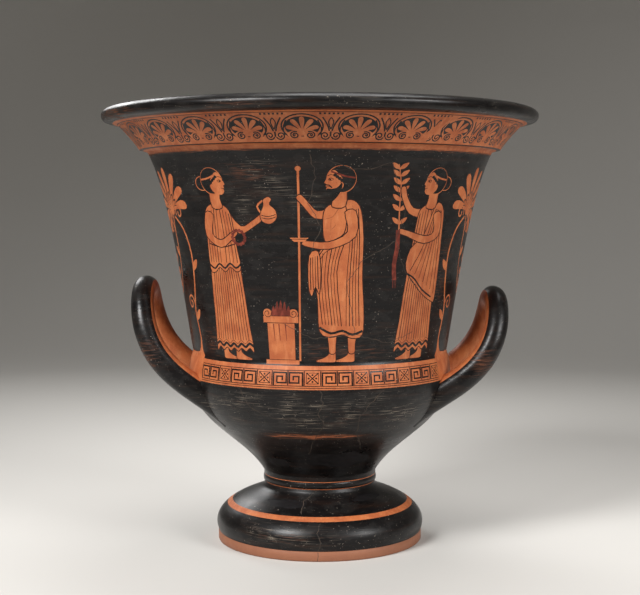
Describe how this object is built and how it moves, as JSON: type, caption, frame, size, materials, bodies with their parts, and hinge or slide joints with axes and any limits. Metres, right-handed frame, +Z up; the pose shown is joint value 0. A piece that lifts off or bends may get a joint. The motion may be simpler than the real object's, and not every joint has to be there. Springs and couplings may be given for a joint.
{
  "type": "calyx krater",
  "caption": "Painted clay mixing bowl with a wide flaring wall, overhanging lip, low upturned loop handles and a stemmed foot.",
  "frame": {"origin": "on the vessel's axis, in the plane that the foot stands on", "axes": "+Z up along the axis of the bowl, +X to the lower handle, -Y to the side with the main picture"},
  "size_m": [0.4614, 0.4614, 0.4602],
  "materials": {
    "painted_clay": "black gloss slip with reserved orange clay figures and ornament, worn"
  },
  "bodies": {
    "root": {"krater": "painted_clay"}
  },
  "joints": []
}
